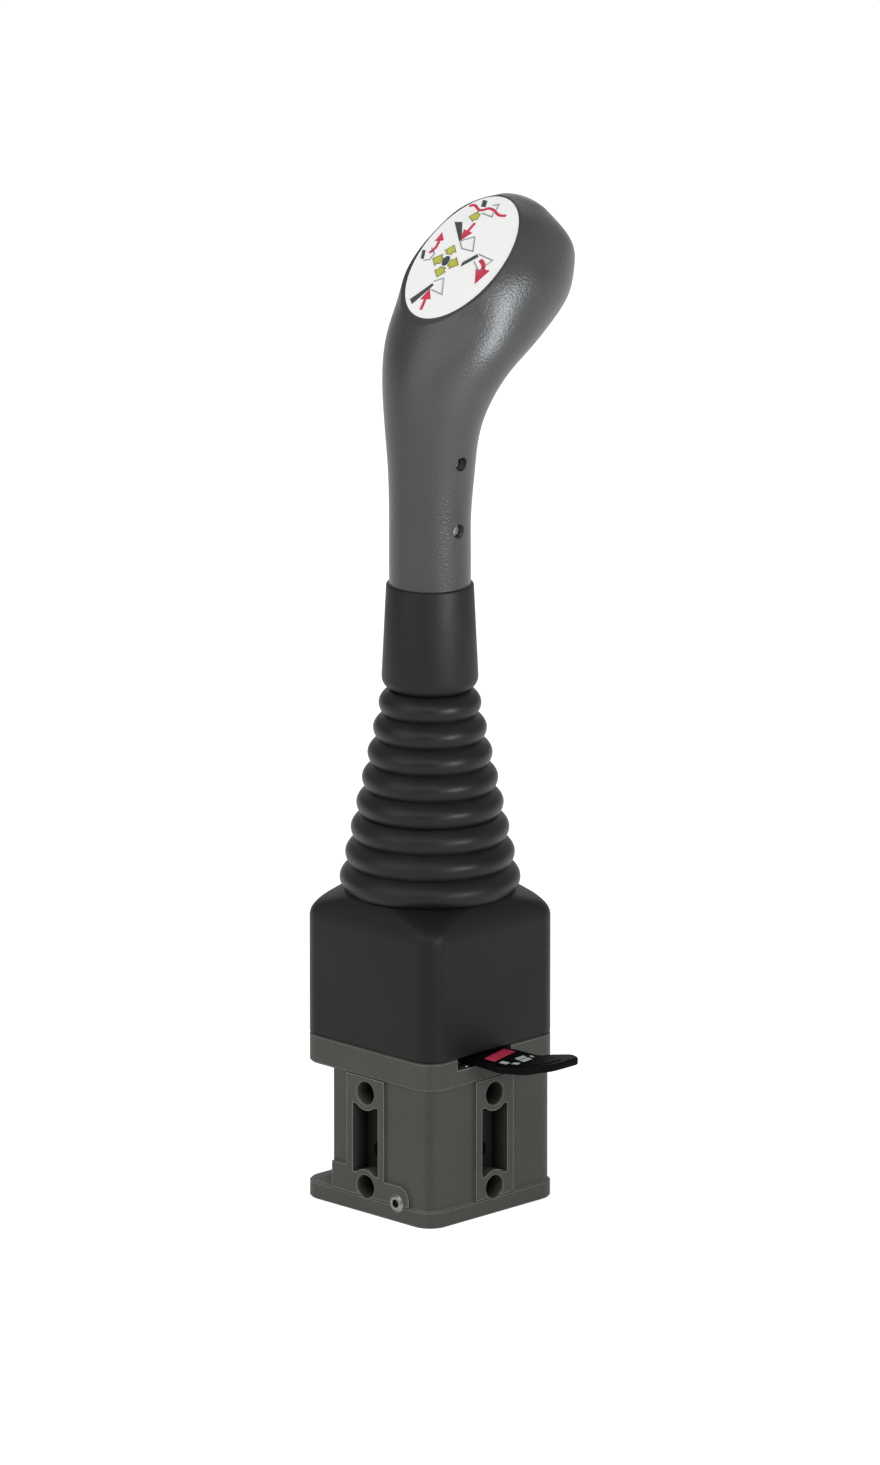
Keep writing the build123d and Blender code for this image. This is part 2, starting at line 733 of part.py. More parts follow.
def grip_insert():
    """Metal socket moulded into the grip; the lever sits in it and the two screws clamp it."""
    bore = lever_size / 2 + seat_clearance
    socket = rod(insert_radius, insert_bottom, insert_top) - rod(bore, insert_bottom, lever_top)
    for height in grip_screw_levels:
        socket -= bar(grip_screw_core + thread_clearance, (0, 0, height), (insert_radius + 1, 0, height))
    return socket


def grip_screws():
    screws = []
    for height in grip_screw_levels:
        tip = (lever_size / 2 + free_clearance, 0, height)
        seat = (screw_seat, 0, height)
        crown = (screw_seat + grip_screw_head_height, 0, height)
        screw = bar(grip_screw_core, tip, seat) + bar(grip_screw_head, seat, crown)
        key = Plane(origin=crown, z_dir=(-1, 0, 0)) * RegularPolygon(grip_screw_head / 2, 6)
        screws.append(screw - extrude(key, grip_screw_head_height / 2))
    return Compound(screws)


# ---------------------------------------------------------------- lever lock
def lock_plate():
    """Finger lever of the lock, around its shaft in the slot of the block."""
    outline = make_face(Polyline(*[(x, y, lock_plate_bottom) for x, y in lock_outline], close=True))
    finger = extrude(outline, lock_plate_thickness)
    finger = fillet(finger.edges().filter_by(Axis.Z), lock_outline_round)
    finger += rod(lock_hub, lock_plate_bottom, lock_plate_top, lock_axis)
    return finger - rod(lock_shaft / 2 + seat_clearance, lock_plate_bottom, lock_plate_top, lock_axis)


def lock_label():
    """Thin printed plate on top of the lock lever."""
    outline = make_face(Polyline(*[(x, y, lock_plate_top) for x, y in lock_label_outline], close=True))
    return extrude(outline, lock_label_thickness)


def lock_shaft_solid():
    shaft = rod(lock_shaft / 2, lock_foot + slide_clearance, lock_dog_top, lock_axis)
    screw_hole = lock_screw_core + thread_clearance
    return shaft - rod(screw_hole, lock_dog_top - lock_screw_length, lock_dog_top, lock_axis)


def lock_dog():
    angle = math.radians(lock_dog_angle)
    tip = (lock_axis[0] + lock_dog_reach * math.cos(angle), lock_axis[1] + lock_dog_reach * math.sin(angle))
    middle = ((lock_axis[0] + tip[0]) / 2, (lock_axis[1] + tip[1]) / 2, lock_dog_bottom)
    arm = Rectangle(lock_dog_reach, 2 * lock_dog_radius)
    dog = extrude(Pos(*middle) * Rot(0, 0, lock_dog_angle) * arm, lock_dog_height)
    dog += rod(lock_dog_radius, lock_dog_bottom, lock_dog_top, tip)
    dog += rod(lock_dog_hub, lock_dog_bottom, lock_dog_top, lock_axis)
    return dog - rod(lock_shaft / 2 + seat_clearance, lock_dog_bottom, lock_dog_top, lock_axis)


def lock_screw():
    """Button screw that holds the dog on the shaft."""
    head_top = lock_dog_top + lock_screw_head_height
    screw = rod(lock_screw_core, lock_dog_top - lock_screw_length + free_clearance, lock_dog_top, lock_axis)
    screw += rod(lock_screw_head, lock_dog_top, head_top, lock_axis)
    return screw - hexagon(lock_screw_key, head_top - lock_screw_key_depth, head_top, lock_axis)


def detent():
    """Detent ball under the lock lever and the spring below it."""
    centre = lock_plate_bottom - slide_clearance - detent_ball / 2
    ball = Pos(detent_place[0], detent_place[1], centre) * Sphere(detent_ball / 2)
    floor = lock_slot_floor - detent_depth
    mean = detent_ball - 2 * detent_spring_wire
    top = centre - detent_ball / 2 + detent_seat
    spring = coil(mean, detent_spring_wire, floor, top, detent_spring_turns, detent_place)
    return ball, spring


# ---------------------------------------------------------------- write every piece
save("valve_body", valve_body())
save("gallery_plugs", gallery_plugs())
save("test_port_plug", test_port_plug())
save("guide_plate", guide_plate())
save("guide_plate_screws", cap_screws(plate_screw_places(), plate_screw_size,
                                      block_top - plate_screw_length + free_clearance, plate_top))
save("bush_seals", bush_seals())
for side, place in sides.items():
    save(f"guide_bush_{side}", guide_bush(place))
    save(f"plunger_{side}", plunger(place))
    save(f"spring_seat_{side}", spring_seat(place))
    save(f"return_spring_{side}", return_spring(place))
    save(f"metering_spring_{side}", metering_spring(place))
    save(f"spool_{side}", spool(place))
save("pivot_post", pivot_post())
save("fork_bushes", trunnion_bushes(True))
save("universal_cross", universal_cross())
save("yoke_bushes", trunnion_bushes(False))
save("upper_yoke", upper_yoke())
save("cam_plate", cam_plate())
save("jam_nut", jam_nut())
save("lever_rod", lever_rod())
save("boot_skirt", boot_skirt())
save("boot_bellows", boot_bellows())
save("boot_collar", boot_collar())
save("grip_shell", grip_shell())
save("grip_insert", grip_insert())
save("grip_screws", grip_screws())
save("label_inlay", label_inlay())
save("lock_plate", lock_plate())
save("lock_label", lock_label())
save("lock_shaft", lock_shaft_solid())
save("lock_dog", lock_dog())
save("lock_screw", lock_screw())
ball, spring = detent()
save("detent_ball", ball)
save("detent_spring", spring)
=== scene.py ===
# Hydraulic pilot joystick valve: looks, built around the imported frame. Everything is in metres.
import json
import math
import bmesh
import bpy
import numpy as np
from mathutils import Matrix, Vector


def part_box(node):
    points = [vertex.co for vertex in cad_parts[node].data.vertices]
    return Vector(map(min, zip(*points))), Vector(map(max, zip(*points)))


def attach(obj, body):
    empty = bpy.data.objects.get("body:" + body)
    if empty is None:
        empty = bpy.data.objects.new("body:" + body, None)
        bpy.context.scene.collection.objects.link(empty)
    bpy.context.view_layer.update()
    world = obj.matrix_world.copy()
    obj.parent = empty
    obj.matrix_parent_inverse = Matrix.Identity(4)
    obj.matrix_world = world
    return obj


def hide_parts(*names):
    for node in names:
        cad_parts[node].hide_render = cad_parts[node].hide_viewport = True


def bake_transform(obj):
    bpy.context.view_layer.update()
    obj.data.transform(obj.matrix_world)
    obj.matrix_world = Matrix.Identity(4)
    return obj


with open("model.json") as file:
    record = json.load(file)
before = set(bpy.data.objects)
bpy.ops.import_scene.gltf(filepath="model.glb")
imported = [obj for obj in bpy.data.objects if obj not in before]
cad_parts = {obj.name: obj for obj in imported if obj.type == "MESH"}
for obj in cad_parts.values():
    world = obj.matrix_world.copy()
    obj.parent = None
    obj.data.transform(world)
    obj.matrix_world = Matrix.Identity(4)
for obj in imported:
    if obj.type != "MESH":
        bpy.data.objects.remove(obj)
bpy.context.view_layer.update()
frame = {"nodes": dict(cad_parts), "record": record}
nodes = frame["nodes"]
mm = 0.001
print("frame loaded:", len(nodes), "CAD nodes")


def linear(hexColour):
    values = [int(hexColour[i:i + 2], 16) / 255 for i in (0, 2, 4)]
    return tuple(v / 12.92 if v <= 0.04045 else ((v + 0.055) / 1.055) ** 2.4 for v in values) + (1.0,)


def addNode(tree, kind, settings=None, links=None):
    # a number or a socket's name sets that input, any other name is a setting of the node itself
    node = tree.nodes.new(kind)
    for key, value in (settings or {}).items():
        if isinstance(key, int) or key in node.inputs:
            node.inputs[key].default_value = value
        else:
            setattr(node, key, value)
    for key, socket in (links or {}).items():
        tree.links.new(socket, node.inputs[key])
    return node


# Widths are in mm: patchMm is that of a slow change of tone, grainMm that of one bump of the surface. The real grain
# of rubber, plating, metal, film and ink is finer than 0.2 mm, which doesn't show, so it is drawn as coarse as it is
# written here.
finishes = {
    # grey stove enamel over sand-cast iron: even tone with a soft cast texture, a painted highlight along the edges,
    # painted shade in the inner corners and near-black painted shade deep in the pockets and bores
    "stoveEnamelledIron": {"dark": "403F3B", "light": "52504B", "patchMm": 24, "grainMm": 1.1, "bump": 0.35,
                           "rough": (0.5, 0.62), "shader": {"IOR": 1.5, "Specular IOR Level": 0.3},
                           "paintedLight": {"edgeHighlightColour": "A9A7A2", "edgeHighlightMm": 0.6, "edgeHighlightShare": 0.8,
                                    "creviceShadeMm": 2.0, "creviceShadeShare": 0.3,
                                    "paintedShadeColour": "171615", "pocketShadeReachMm": (26.2, 31.6)}},
    # chloroprene moulded as the skirt: near black and dull, with a faint bloom that greys the flat sides
    "mouldedChloropreneSkirt": {"dark": "0E0E0D", "light": "161615", "patchMm": 30, "grainMm": 0.7, "bump": 0.22,
                                "rough": (0.42, 0.54), "shader": {"IOR": 1.5, "Specular IOR Level": 0.22}},
    # chloroprene moulded as the bellows: a little smoother from flexing, so each ring carries a soft line of light;
    # the nitrile of the small seals looks the same
    "mouldedChloropreneBellows": {"dark": "0F0F0F", "light": "191919", "patchMm": 18, "grainMm": 0.6, "bump": 0.18,
                                  "rough": (0.38, 0.48), "shader": {"IOR": 1.5, "Specular IOR Level": 0.26}},
    # chloroprene moulded as the sleeve: a shade greyer and duller, from the hand that rubs it
    "mouldedChloropreneCollar": {"dark": "161616", "light": "1E1E1E", "patchMm": 20, "grainMm": 0.6, "bump": 0.18,
                                 "rough": (0.45, 0.58), "shader": {"IOR": 1.5, "Specular IOR Level": 0.22}},
    # self-skinned polyurethane of the grip: a fine leathery pebble that spreads the highlight into a pale sheen
    "selfSkinnedPolyurethane": {"dark": "2F2E2D", "light": "3F3E3D", "patchMm": 35, "grainMm": 0.9, "bump": 0.42,
                                "rough": (0.33, 0.41), "shader": {"IOR": 1.5, "Specular IOR Level": 0.5}},
    # white polyester film of the oval plate: bright, clean and slightly glossy
    "whitePolyesterFilm": {"dark": "F8F8F8", "light": "FFFFFF", "patchMm": 30, "grainMm": 2.5, "bump": 0.02,
                           "rough": (0.28, 0.34), "shader": {"IOR": 1.5}},
    # black oxide on pressed steel: the layer hides the metal, and nearly no light comes back but on the rolled
    # edges; the black film on the lock lever looks the same
    "blackOxideSteel": {"dark": "050506", "light": "0C0C0E", "patchMm": 12, "grainMm": 0.5, "bump": 0.25,
                        "rough": (0.45, 0.55), "shader": {"IOR": 1.5, "Specular IOR Level": 0.05}},
    # zinc plate on turned steel: mid grey with a cloudy lustre
    "zincPlatedSteel": {"dark": "6E6E6C", "light": "959592", "patchMm": 3, "grainMm": 0.3, "bump": 0.08,
                        "rough": (0.25, 0.4), "shader": {"Metallic": 1.0}},
    # bright dipped zinc of the small screws: a pale glint at the bottom of their recesses
    "brightZincSteel": {"dark": "BDBDBA", "light": "E4E4E1", "patchMm": 3, "grainMm": 0.3, "bump": 0.08,
                        "rough": (0.25, 0.4), "shader": {"Metallic": 1.0}},
    # ground steel of the spools, pins and shafts: cool and even, with clear reflections
    "groundSteel": {"dark": "8E8F92", "light": "B9BABD", "patchMm": 8, "grainMm": 0.25, "bump": 0.06,
                    "rough": (0.22, 0.35), "shader": {"Metallic": 1.0}},
    # drawn spring wire: darker steel with a faint oil film that dulls the highlight
    "drawnSpringWire": {"dark": "6F6F72", "light": "97979A", "patchMm": 4, "grainMm": 0.3, "bump": 0.1,
                        "rough": (0.3, 0.42), "shader": {"Metallic": 1.0}},
    # turned brass and bronze of the bushes: warm yellow with a soft lustre
    "turnedBrass": {"dark": "B08D4A", "light": "CFAE68", "patchMm": 6, "grainMm": 0.3, "bump": 0.06,
                    "rough": (0.25, 0.38), "shader": {"Metallic": 1.0}},
    # turned aluminium: pale and slightly milky
    "turnedAluminium": {"dark": "B5B7BA", "light": "D6D8DA", "patchMm": 10, "grainMm": 0.3, "bump": 0.06,
                        "rough": (0.28, 0.4), "shader": {"Metallic": 1.0}},
}
# screen printing inks: thin even films with a slight gloss, each a clear flat colour that stands off its plate
inks = {
    "redInk": ("BE2C4A", "D23E5A"),    # carmine arrows and the red field of the lock lever
    "limeInk": ("B9BC3F", "CDD05C"),    # yellow-green triangles
    "oliveInk": ("6C6E33", "7E8040"),    # the dark line round them
    "slateInk": ("38403F", "465150"),    # dark green-grey beams
    "greyInk": ("8A9090", "A3A9A8"),    # thin bucket outlines
    "paleInk": ("B4BEBC", "CBD3D1"),    # light marks of the lock lever
}
for name, (dark, light) in inks.items():
    finishes[name] = {"dark": dark, "light": light, "patchMm": 8, "grainMm": 0.8, "bump": 0.02, "rough": (0.3, 0.4),
                      "shader": {"IOR": 1.5}}


def enamelWithPaintedLight(tree, paintedLight, place, colour):
    # the enamel gets a painted highlight on the edges, painted shade in the inner corners and near-black painted
    # shade deep in the pockets
    softened = addNode(tree, "ShaderNodeBevel", {"samples": 6, "Radius": paintedLight["edgeHighlightMm"] * mm}).outputs[0]
    flat = addNode(tree, "ShaderNodeNewGeometry").outputs["Normal"]
    facing = addNode(tree, "ShaderNodeVectorMath", {"operation": "DOT_PRODUCT"},
                     {0: softened, 1: flat}).outputs["Value"]
    # the painted highlight starts where the softened edge turns 10 degrees off the face and is full at 31 degrees
    edgeHighlight = addNode(tree, "ShaderNodeMapRange", {"From Min": 0.985, "From Max": 0.86, "To Max": paintedLight["edgeHighlightShare"]},
                   {"Value": facing}).outputs[0]
    colour = addNode(tree, "ShaderNodeMix", {"data_type": "RGBA", 7: linear(paintedLight["edgeHighlightColour"])},
                     {0: edgeHighlight, 6: colour}).outputs[2]
    openness = addNode(tree, "ShaderNodeAmbientOcclusion",
                       {"samples": 8, "Distance": paintedLight["creviceShadeMm"] * mm}).outputs["AO"]
    # the painted shade is darkest where a third of the surroundings is open, and gone where nine tenths are
    creviceLight = addNode(tree, "ShaderNodeMapRange",
                    {"From Min": 0.35, "From Max": 0.9, "To Min": paintedLight["creviceShadeShare"], "To Max": 1.0},
                    {"Value": openness}).outputs[0]
    shadeColour = linear(paintedLight["paintedShadeColour"])
    colour = addNode(tree, "ShaderNodeMix", {"data_type": "RGBA", 6: shadeColour}, {0: creviceLight, 7: colour}).outputs[2]
    # the distance from the lever axis tells the outer skin from the inside of a pocket, and the inside is painted
    # near-black as shade
    parts = addNode(tree, "ShaderNodeSeparateXYZ", None, {0: place})
    wide = addNode(tree, "ShaderNodeMath", {"operation": "ABSOLUTE"}, {0: parts.outputs["X"]}).outputs[0]
    deep = addNode(tree, "ShaderNodeMath", {"operation": "ABSOLUTE"}, {0: parts.outputs["Y"]}).outputs[0]
    reach = addNode(tree, "ShaderNodeMath", {"operation": "MAXIMUM"}, {0: wide, 1: deep}).outputs[0]
    inside, outside = paintedLight["pocketShadeReachMm"]
    skin = addNode(tree, "ShaderNodeMapRange", {"From Min": inside * mm, "From Max": outside * mm},
                   {"Value": reach}).outputs[0]
    return addNode(tree, "ShaderNodeMix", {"data_type": "RGBA", 6: shadeColour}, {0: skin, 7: colour}).outputs[2]


def grainedSurface(name, finish):
    # every finish has slow patches of tone and a fine grain that breaks up the highlight
    made = bpy.data.materials.new(name)
    made.use_nodes = True
    tree = made.node_tree
    tree.nodes.clear()
    place = addNode(tree, "ShaderNodeTexCoord").outputs["Object"]
    patches = addNode(tree, "ShaderNodeTexNoise", {"Scale": 1 / (finish["patchMm"] * mm), "Detail": 4.0},
                      {"Vector": place}).outputs["Fac"]
    grain = addNode(tree, "ShaderNodeTexNoise", {"Scale": 1 / (finish["grainMm"] * mm), "Detail": 3.0},
                    {"Vector": place}).outputs["Fac"]
    # the tone follows the patches with a third of the grain on top, and that sum runs from about 0.35 to 0.95
    mixed = addNode(tree, "ShaderNodeMath", {"operation": "MULTIPLY_ADD", 1: 0.35}, {0: grain, 2: patches}).outputs[0]
    tone = addNode(tree, "ShaderNodeMapRange", {"From Min": 0.35, "From Max": 0.95}, {"Value": mixed}).outputs[0]
    colour = addNode(tree, "ShaderNodeMix",
                     {"data_type": "RGBA", 6: linear(finish["dark"]), 7: linear(finish["light"])},
                     {0: tone}).outputs[2]
    if "paintedLight" in finish:
        colour = enamelWithPaintedLight(tree, finish["paintedLight"], place, colour)
    smoothest, roughest = finish["rough"]    # reached where the patches are at 0.3 and at 0.7
    rough = addNode(tree, "ShaderNodeMapRange",
                    {"From Min": 0.3, "From Max": 0.7, "To Min": smoothest, "To Max": roughest},
                    {"Value": patches}).outputs[0]
    height = 0.4 * finish["grainMm"] * mm    # a bump stands up to 0.4 of its width high
    bump = addNode(tree, "ShaderNodeBump", {"Strength": finish["bump"], "Distance": height},
                   {"Height": grain}).outputs[0]
    shader = addNode(tree, "ShaderNodeBsdfPrincipled", finish["shader"],
                     {"Base Color": colour, "Roughness": rough, "Normal": bump})
    addNode(tree, "ShaderNodeOutputMaterial", None, {"Surface": shader.outputs[0]})
    return made


paint = {name: grainedSurface(name, finish) for name, finish in finishes.items()}
print("materials made:", len(paint))


def addObject(name, data):
    item = bpy.data.objects.new(name, data)
    bpy.context.scene.collection.objects.link(item)
    return item


def newPiece(name, points, faces, material, body, sharpDegrees=35):
    mesh = bpy.data.meshes.new(name)
    mesh.from_pydata([tuple(p) for p in points], [], faces)
    mesh.validate()
    piece = addObject(name, mesh)
    finishPiece(piece, material, sharpDegrees)
    if body:
        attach(piece, body)
    return piece


def finishPiece(piece, material, sharpDegrees):
    # outward faces, smooth shading that breaks at real corners
    work = bmesh.new()
    work.from_mesh(piece.data)
    bmesh.ops.remove_doubles(work, verts=work.verts, dist=1e-6)    # a thousandth of a mm
    bmesh.ops.recalc_face_normals(work, faces=work.faces)
    for face in work.faces:
        face.smooth = True
    for edge in work.edges:
        if len(edge.link_faces) == 2:
            edge.smooth = edge.calc_face_angle(0) < math.radians(sharpDegrees)
    work.to_mesh(piece.data)
    work.free()
    piece.data.materials.clear()
    piece.data.materials.append(paint[material])


def raisedOutline(work, points, move):
    # a flat outline pushed along into a thin solid
    face = work.faces.new([work.verts.new(point) for point in points])
    raised = bmesh.ops.extrude_face_region(work, geom=[face])
    moved = [part for part in raised["geom"] if isinstance(part, bmesh.types.BMVert)]
    bmesh.ops.translate(work, verts=moved, vec=move)


def pieceFromWork(work, name, material, body, sharpDegrees):
    mesh = bpy.data.meshes.new(name)
    work.to_mesh(mesh)
    work.free()
    piece = addObject(name, mesh)
    finishPiece(piece, material, sharpDegrees)
    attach(piece, body)
    return piece


def ringFaces(rows, columns):
    # the four-sided faces between rows of points that each run once round
    faces = []
    for row in range(rows - 1):
        for column in range(columns):
            after = (column + 1) % columns
            faces.append((row * columns + column, row * columns + after,
                          (row + 1) * columns + after, (row + 1) * columns + column))
    return faces


def turnAngles(columns):
    return [2 * math.pi * column / columns for column in range(columns)]


def revolved(profile, columns):
    # a profile of (radius, height) turned about the lever axis
    angles = turnAngles(columns)
    return [(radius * math.cos(a), radius * math.sin(a), height) for radius, height in profile for a in angles]


# every CAD node gets its finish by its slot, also those that a finer piece replaces below
nodeFinishes = {
    "block": "stoveEnamelledIron", "boot_skirt": "mouldedChloropreneSkirt", "bellows": "mouldedChloropreneBellows",
    "collar": "mouldedChloropreneCollar", "grip": "selfSkinnedPolyurethane", "label": "whitePolyesterFilm",
    "lock_label": "blackOxideSteel", "lock_plate": "blackOxideSteel", "seal": "mouldedChloropreneBellows",
    "bush": "turnedBrass", "bronze": "turnedBrass", "spring_wire": "drawnSpringWire",
    "aluminium": "turnedAluminium", "plated": "zincPlatedSteel", "plate_steel": "groundSteel",
    "steel": "groundSteel",
}
# the gallery plugs sit in the pockets and get the black finish so that they stay dark within the painted shade there
ownFinishes = {"gallery_plugs": "blackOxideSteel", "grip_screws": "brightZincSteel"}    # nodes unlike their slot
for row in frame["record"]["subparts"]:
    finish = ownFinishes.get(row["node"], nodeFinishes[row["material_slot"]])
    for slot in nodes[row["node"]].material_slots:
        slot.material = paint[finish]
print("CAD nodes painted")


# boot skirt: a rounded square that domes over into the first ring
skirtLow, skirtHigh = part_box("boot_skirt")
skirt = {
    "half": skirtHigh[0], "corner": 8 * mm, "straight": 44.3 * mm, "wall": 3 * mm, "cornerSteps": 12,
    "mouth": 27.6 * mm,    # radius of the round opening under the first ring
    "footEdge": 0.5 * mm,    # small chamfer round the foot
    "bendStart": 2 * mm,    # last straight row, below the shoulder
    "faceDrop": 3.9 * mm,    # how far the middle of a side comes in over the shoulder
    "faceEase": 0.35,    # share of that drop which comes early
    # rise above the straight wall and how far the corner is drawn in there, in mm
    "shoulder": [(0, 0), (1.2, 0.3), (1.9, 0.6), (2.6, 1.0), (3.3, 1.55), (4.0, 2.25), (4.8, 3.1), (5.6, 4.2),
                 (6.4, 5.5), (7.1, 6.9), (7.9, 8.5), (8.6, 10.1), (9.3, 11.6), (9.9, 13.0)],
}


def roundedSquare(half, corner, height):
    corner = min(corner, half * 0.995)    # never quite a circle, so that no two points fall together
    middle = half - corner
    points = []
    for quarter, (signX, signY) in enumerate(((1, 1), (-1, 1), (-1, -1), (1, -1))):
        for step in range(skirt["cornerSteps"] + 1):
            angle = math.pi / 2 * (quarter + step / skirt["cornerSteps"])
            points.append((signX * middle + corner * math.cos(angle),
                           signY * middle + corner * math.sin(angle), height))
    return points


def bootSkirt():
    # one closed shell: up the outside, over the mouth, down the inside and back to the foot
    base, top = skirtLow[2], skirtHigh[2]
    half, wall, mouth, edge = skirt["half"], skirt["wall"], skirt["mouth"], skirt["footEdge"]
    shoulder = base + skirt["straight"]
    reach = math.sqrt(2) * (half - skirt["corner"]) + skirt["corner"]    # from the axis to a corner
    rows = []

    def section(height, halfWidth, cornerReach):
        corner = (math.sqrt(2) * halfWidth - cornerReach) / (math.sqrt(2) - 1)
        rows.append(roundedSquare(halfWidth, corner, height))

    def shoulderRows(inset, order):
        lastRise, lastDrawn = skirt["shoulder"][-1]
        for rise, drawn in skirt["shoulder"][::order]:
            share = drawn / lastDrawn
            drop = skirt["faceDrop"] * (skirt["faceEase"] * share ** 0.5 + (1 - skirt["faceEase"]) * share)
            section(shoulder + (top - inset - shoulder) * rise / lastRise, half - drop - inset,
                    reach - drawn * mm - inset)

    section(base, half - edge, reach - edge)
    section(base + edge, half, reach)
    section(shoulder - skirt["bendStart"], half, reach)
    shoulderRows(0, 1)
    section(top, mouth, mouth)
    section(top - wall, mouth, mouth)
    shoulderRows(wall, -1)
    section(base, half - wall, reach - wall)
    rows.append(rows[0])
    points = [point for row in rows for point in row]
    piece = newPiece("rubberSkirt", points, ringFaces(len(rows), len(rows[0])), "mouldedChloropreneSkirt", "base",
                     40)
    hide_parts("boot_skirt")


bootSkirt()
print("boot skirt made")


# bellows: eight rings in two parts that meet in a groove
bellowsLow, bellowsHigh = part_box("boot_bellows")
bellows = {
    "rings": 8, "split": 3,    # the parts meet after this ring
    "crest": bellowsHigh[0] + 0.25 * mm, "taper": 2.01 * mm,    # lowest ring's radius, and how much each loses
    "crestPlace": 0.43,    # height of the crest as a share of the ring's pitch
    "lowerDrop": 1.6 * mm, "upperDrop": 3.61 * mm,    # depth of the grooves below and above the crest
    "wall": 2 * mm, "stepsPerRing": 18, "columns": 128,
}
pitch = (bellowsHigh[2] - bellowsLow[2]) / bellows["rings"]


def ringProfile(first, last):
    steps, crestPlace = bellows["stepsPerRing"], bellows["crestPlace"]
    outer = []
    for ring in range(first, last):
        crest = bellows["crest"] - bellows["taper"] * ring
        for step in range(steps + (ring == last - 1)):    # the last ring also gets its upper end
            along = step / steps
            drop = bellows["upperDrop"] * ((along - crestPlace) / (1 - crestPlace)) ** 2
            if along < crestPlace:
                drop = bellows["lowerDrop"] * (1 - along / crestPlace) ** 2
            outer.append((crest - drop, bellowsLow[2] + pitch * (ring + along)))
    inner = [(radius - bellows["wall"], height) for radius, height in reversed(outer)]
    return outer + inner + outer[:1]


def bellowsPart(name, first, last):
    profile = ringProfile(first, last)
    points = revolved(profile, bellows["columns"])
    faces = ringFaces(len(profile), bellows["columns"])
    piece = newPiece(name, points, faces, "mouldedChloropreneBellows", None, 60)
    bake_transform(piece)
    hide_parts("boot_bellows")


bellowsPart("bellowsLower", 0, bellows["split"])
bellowsPart("bellowsUpper", bellows["split"], bellows["rings"])
print("bellows made")


# collar: the plain tapered sleeve that holds the bellows on the grip's stem
collarLow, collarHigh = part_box("boot_collar")
collar = {
    "wide": 17.4 * mm, "topRadius": 15.8 * mm, "neck": 13.2 * mm,    # radii of the widest part, the top, the foot
    "roundHeight": 4.6 * mm, "roundSteps": 10,    # the foot's rounding
    "lip": 0.9 * mm, "lipSteps": 6,    # the rounded upper rim, less than the rubber's thickness there
    "bore": 14.75 * mm, "rodBore": 6.05 * mm, "columns": 128,
}


def bootCollar():
    base, top = collarLow[2], collarHigh[2]
    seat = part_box("grip_shell")[0][2]    # the grip's stem stands in the collar down to here
    profile = [(collar["rodBore"], base), (collar["neck"], base)]
    for step in range(1, collar["roundSteps"] + 1):
        turn = math.pi / 2 * step / collar["roundSteps"]
        profile.append((collar["neck"] + (collar["wide"] - collar["neck"]) * math.sin(turn),
                        base + collar["roundHeight"] * (1 - math.cos(turn))))
    for step in range(1, collar["lipSteps"] + 1):
        turn = math.pi / 2 * step / collar["lipSteps"]
        profile.append((collar["topRadius"] - collar["lip"] * (1 - math.cos(turn)),
                        top - collar["lip"] * (1 - math.sin(turn))))
    profile += [(collar["bore"], top), (collar["bore"], seat), (collar["rodBore"], seat)]
    profile.append(profile[0])
    points = revolved(profile, collar["columns"])
    piece = newPiece("rubberCollar", points, ringFaces(len(profile), collar["columns"]),
                     "mouldedChloropreneCollar", "lever")
    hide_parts("boot_collar")


bootCollar()
print("collar made")


# grip: a stem that swells into the head, in one moulding, with a sloping oval face
grip = {
    "stem": 14.7 * mm, "stemLength": 57 * mm, "bore": 8.2 * mm, "boreTop": 62 * mm,
    "endEdge": 0.4, "endShrink": 0.96,    # rounding of the stem's lower edge: height in mm, share of the radius
    # front Y, front height, back Y, back height, half width, in mm, heights from the end of the straight stem
    "sections": [(-14.7, -20, 14.7, -20, 14.7), (-14.7, -10, 14.7, -10, 14.7), (-14.7, 0, 14.7, 0, 14.7),
                 (-15.1, 20, 16.4, 17.5, 15.5), (-15.5, 39, 17.6, 32, 18), (-13.8, 55.5, 21.2, 42.5, 21.7),
                 (-9, 69, 27.8, 51.5, 25.4), (-3.5, 81, 38.8, 58.4, 27), (-0.5, 90.5, 50.4, 66, 27.3),
                 (7, 99, 58.8, 74.2, 27), (16.5, 107, 63.6, 83.5, 23.4), (27, 112.3, 63.7, 94.5, 16.5),
                 (40, 113.3, 55.5, 105, 7.9)],
    "rows": 170, "columns": 144,
    "crown": 1.7,    # how far the top bulges over the last section, in mm
    "crownShares": (0.93, 0.07, 13),    # its rings run from and to this share of that section, and their number
    # sloping face, in mm: centre (Y, height over the stem), half width and length, rim, how deep the inlay sits
    "faceCentre": (16.2, 94.1), "faceTilt": 42, "faceHalf": (20.9, 28.6), "rim": 0.9, "inlayDepth": 1.2,
    "softEdge": (0.35, 0.1), "rimRound": (0.25, 0.12),    # inset and lift of the rings that round the rim
    # screw recesses, in mm: heights over the stem, radius, where the drill starts and ends across
    "screwHeights": (-1.5, 23.5), "recess": 2.6, "screwSeat": 10.2, "drillEnd": 22, "drillColumns": 32,
}
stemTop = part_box("grip_shell")[0][2] + grip["stemLength"]
tilt = math.radians(grip["faceTilt"])
faceCentre = Vector((0, grip["faceCentre"][0] * mm, stemTop + grip["faceCentre"][1] * mm))
faceUp = Vector((0, math.cos(tilt), math.sin(tilt)))
faceNormal = Vector((0, -math.sin(tilt), math.cos(tilt)))


def facePoint(across, up, lift):
    # millimetres across, up and above the sloping face
    return faceCentre + Vector((across * mm, 0, 0)) + faceUp * (up * mm) + faceNormal * (lift * mm)


def faceAngle(point):
    halfX, halfY = grip["faceHalf"]
    offset = point - faceCentre
    return math.atan2(offset.dot(faceUp) / halfY, offset.x / halfX)


